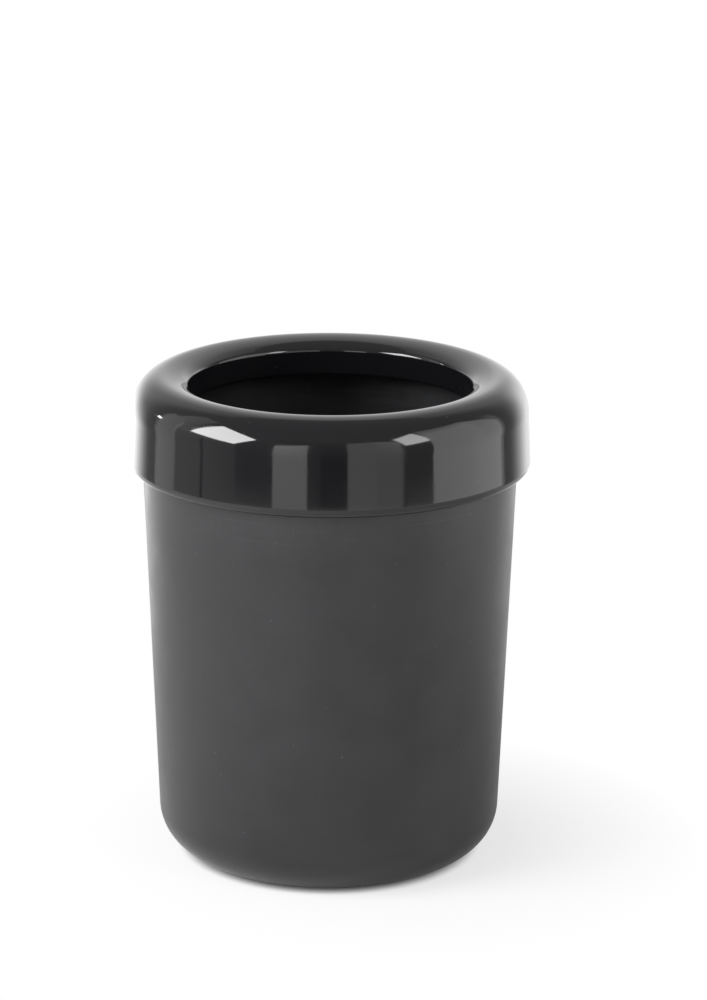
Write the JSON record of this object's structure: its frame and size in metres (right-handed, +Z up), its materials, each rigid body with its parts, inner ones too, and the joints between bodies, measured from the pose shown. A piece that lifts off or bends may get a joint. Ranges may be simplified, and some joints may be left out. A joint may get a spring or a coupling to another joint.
{
  "type": "tabletop cutlery holder",
  "caption": "Round tapered container with a rounded heel and a lift-off ring lid whose rolled mouth holds cutlery upright on a table.",
  "frame": {"origin": "on the axis, at the middle of the underside, level with the foot that stands on the table", "axes": "+Z up along the axis of revolution; X and Y lie in the table's plane and are alike"},
  "size_m": [0.13, 0.13, 0.16],
  "materials": {
    "container_black": "satin",
    "ring_black": "gloss"
  },
  "bodies": {
    "container": {"container": "container_black"},
    "ring_lid": {"ring_lid": "ring_black"}
  },
  "joints": [
    {"name": "ring_lift", "type": "slide", "parent": "container", "child": "ring_lid", "axis": [0, 0, 1], "range_m": [0, 0.06]}
  ]
}
